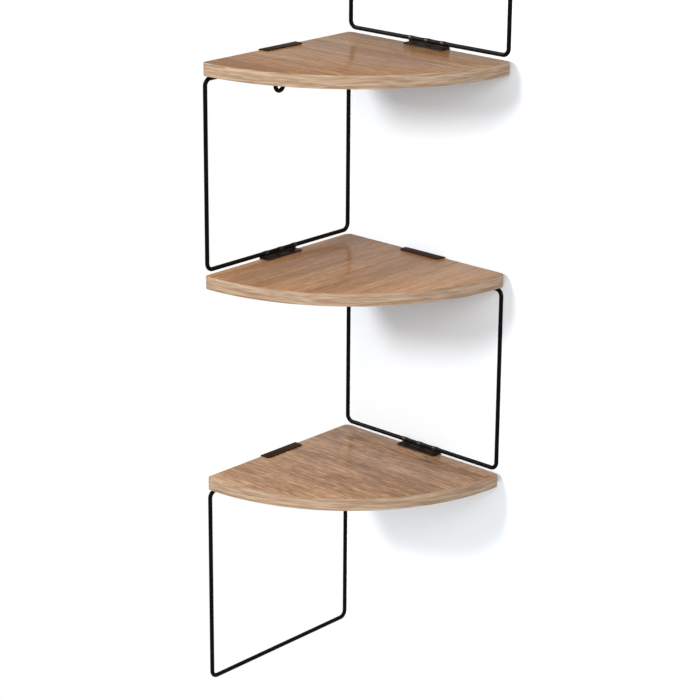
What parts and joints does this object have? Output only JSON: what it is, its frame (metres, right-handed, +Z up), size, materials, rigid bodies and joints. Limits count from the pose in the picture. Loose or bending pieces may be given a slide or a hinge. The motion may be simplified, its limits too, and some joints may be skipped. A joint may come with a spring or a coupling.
{
  "type": "corner shelf unit",
  "caption": "Corner wall shelf: quarter-round oak-effect boards hung one below another from black wire frames that alternate between two walls, on knuckled hinge clips.",
  "frame": {"origin": "where the two wall planes and the plane of the lowest wire's underside meet, behind the boards' rear corners", "axes": "+Z up; the right wall is the plane y = 0 and runs along +X from the corner; the left wall is the plane x = 0 and runs along -Y from the corner; the boards' round fronts face +X -Y"},
  "size_m": [0.2464, 0.2464, 0.9912],
  "materials": {
    "board_laminate": "satin oak-effect laminate on chipboard",
    "edge_band": "satin edge band",
    "black_wire": "black powder coat",
    "dark_sheet": "brown-black powder coat",
    "zinc_screw": "zinc plated"
  },
  "bodies": {
    "frame_1": {"frame_1_wire": "black_wire", "frame_1_loop": "black_wire"},
    "shelf_1": {"shelf_1_board": "board_laminate", "shelf_1_front_band": "edge_band", "shelf_1_upper_clip": "dark_sheet", "shelf_1_upper_clip_screw_1": "zinc_screw", "shelf_1_upper_clip_screw_2": "zinc_screw", "shelf_1_lower_clip": "dark_sheet", "shelf_1_lower_clip_screw_1": "zinc_screw", "shelf_1_lower_clip_screw_2": "zinc_screw"},
    "frame_2": {"frame_2_wire": "black_wire", "frame_2_loop": "black_wire"},
    "shelf_2": {"shelf_2_board": "board_laminate", "shelf_2_front_band": "edge_band", "shelf_2_upper_clip": "dark_sheet", "shelf_2_upper_clip_screw_1": "zinc_screw", "shelf_2_upper_clip_screw_2": "zinc_screw", "shelf_2_lower_clip": "dark_sheet", "shelf_2_lower_clip_screw_1": "zinc_screw", "shelf_2_lower_clip_screw_2": "zinc_screw"},
    "frame_3": {"frame_3_wire": "black_wire", "frame_3_loop": "black_wire"},
    "shelf_3": {"shelf_3_board": "board_laminate", "shelf_3_front_band": "edge_band", "shelf_3_upper_clip": "dark_sheet", "shelf_3_upper_clip_screw_1": "zinc_screw", "shelf_3_upper_clip_screw_2": "zinc_screw", "shelf_3_lower_clip": "dark_sheet", "shelf_3_lower_clip_screw_1": "zinc_screw", "shelf_3_lower_clip_screw_2": "zinc_screw"},
    "frame_4": {"frame_4_wire": "black_wire", "frame_4_loop": "black_wire"}
  },
  "joints": [
    {"name": "shelf_1_fold", "type": "hinge", "parent": "frame_1", "child": "shelf_1", "pos_m": [0.124, -0.004, 0.7665], "axis": [-1, 0, 0], "range_deg": [0, 90]},
    {"name": "frame_2_fold", "type": "hinge", "parent": "shelf_1", "child": "frame_2", "pos_m": [0.004, -0.124, 0.7407], "axis": [0, -1, 0], "range_deg": [0, 90]},
    {"name": "shelf_2_level", "type": "hinge", "parent": "frame_2", "child": "shelf_2", "pos_m": [0.004, -0.124, 0.5185], "axis": [0, -1, 0], "range_deg": [-90, 0]},
    {"name": "frame_3_fold", "type": "hinge", "parent": "shelf_2", "child": "frame_3", "pos_m": [0.124, -0.004, 0.4927], "axis": [-1, 0, 0], "range_deg": [0, 90]},
    {"name": "shelf_3_level", "type": "hinge", "parent": "frame_3", "child": "shelf_3", "pos_m": [0.124, -0.004, 0.2705], "axis": [-1, 0, 0], "range_deg": [-90, 0]},
    {"name": "frame_4_fold", "type": "hinge", "parent": "shelf_3", "child": "frame_4", "pos_m": [0.004, -0.124, 0.2447], "axis": [0, -1, 0], "range_deg": [0, 90]}
  ],
  "couplings": [
    {"joint": "shelf_2_level", "follows": "frame_2_fold", "ratio": -1},
    {"joint": "shelf_3_level", "follows": "frame_3_fold", "ratio": -1}
  ]
}
